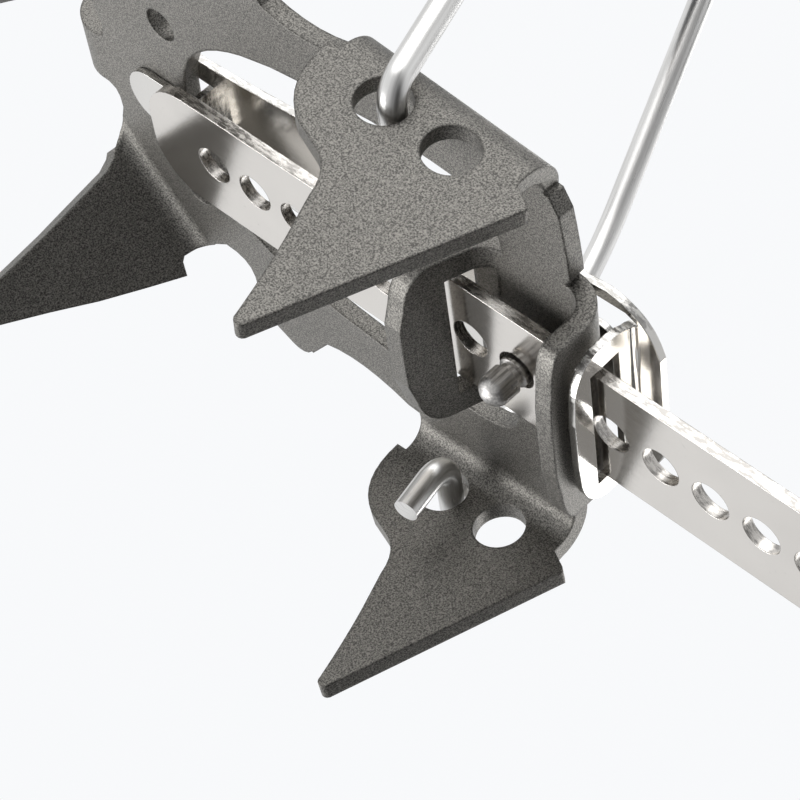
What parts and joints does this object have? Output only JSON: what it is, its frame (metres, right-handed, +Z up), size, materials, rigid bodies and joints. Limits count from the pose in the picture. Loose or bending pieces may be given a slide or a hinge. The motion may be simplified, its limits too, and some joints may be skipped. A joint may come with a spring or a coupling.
{
  "type": "semi-automatic crampon",
  "caption": "Steel crampon with a sliding link bar under spring lock, wire heel bail with screw-adjusted lever, hinged toe cage and ankle strap.",
  "frame": {"origin": "centre of the bounding box, at the height of the spike tips", "axes": "+X towards the toe, +Y to the wearer's left, +Z up"},
  "size_m": [0.3362, 0.1024, 0.1847],
  "materials": {
    "powder_steel": "fine textured dark grey powder coat",
    "spring_steel": "bright plated spring steel",
    "pin_steel": "darker turned steel",
    "bar_steel": "bright plated strip, rough at the sheared edges",
    "hardware_steel": "plated hardware",
    "wire_steel": "satin stainless wire",
    "cast_block": "satin",
    "lever_plastic": "moulded, fine grain",
    "wheel_plastic": "moulded",
    "webbing": "woven polyester webbing",
    "keeper_plastic": "moulded",
    "cage_plastic": "moulded, fine grain",
    "arch_plastic": "flexible moulded elastomer"
  },
  "bodies": {
    "front": {"front_frame": "powder_steel", "linking_bar": "bar_steel", "bar_bolt": "hardware_steel", "bar_spacer": "hardware_steel", "bar_nut": "hardware_steel", "cage_pins": "hardware_steel"},
    "heel": {"heel_frame": "powder_steel", "guide_leaf": "spring_steel"},
    "lock": {"lock_leaf": "spring_steel", "lock_pin": "pin_steel"},
    "bail": {"bail_wire": "wire_steel"},
    "block": {"adjuster_block": "cast_block"},
    "lever": {"heel_lever": "lever_plastic", "welt_catch": "spring_steel", "catch_rivets": "hardware_steel", "ankle_strap": "webbing", "strap_buckle": "hardware_steel", "buckle_bar": "hardware_steel", "strap_keeper": "keeper_plastic"},
    "wheel": {"adjuster_screw": "hardware_steel", "thumb_wheel": "wheel_plastic"},
    "cage": {"toe_cage": "cage_plastic", "cage_arch": "arch_plastic", "arch_rivets": "hardware_steel"}
  },
  "joints": [
    {"name": "length_slide", "type": "slide", "parent": "front", "child": "heel", "axis": [1, 0, 0], "range_m": [-0.038, 0.0532]},
    {"name": "spring_lift", "type": "hinge", "parent": "heel", "child": "lock", "pos_m": [-0.14386, 0, 0.0386], "axis": [0, -1, 0], "range_deg": [0, 7.4], "stiffness_Nm_per_rad": 0.8, "springref_deg": -20.05},
    {"name": "bail_swing", "type": "hinge", "parent": "heel", "child": "bail", "pos_m": [-0.09546, 0, 0.0327], "axis": [0, 1, 0], "range_deg": [-32, 20]},
    {"name": "lever_pivot", "type": "hinge", "parent": "bail", "child": "block", "pos_m": [-0.13184, 0, 0.1427], "axis": [0, 1, 0], "range_deg": [-60, 30]},
    {"name": "height_adjust", "type": "slide", "parent": "block", "child": "lever", "axis": [0, 0, 1], "range_m": [-0.006, 0.006]},
    {"name": "wheel_spin", "type": "hinge", "parent": "lever", "child": "wheel", "pos_m": [-0.13684, 0, 0.1256], "axis": [0, 0, 1], "range_deg": [-2700, 2700]},
    {"name": "cage_pivot", "type": "hinge", "parent": "front", "child": "cage", "pos_m": [0.09214, 0, 0.0526], "axis": [0, 1, 0], "range_deg": [-75, 16]}
  ],
  "couplings": [
    {"joint": "wheel_spin", "follows": "height_adjust", "rad_per_m": 7854}
  ]
}
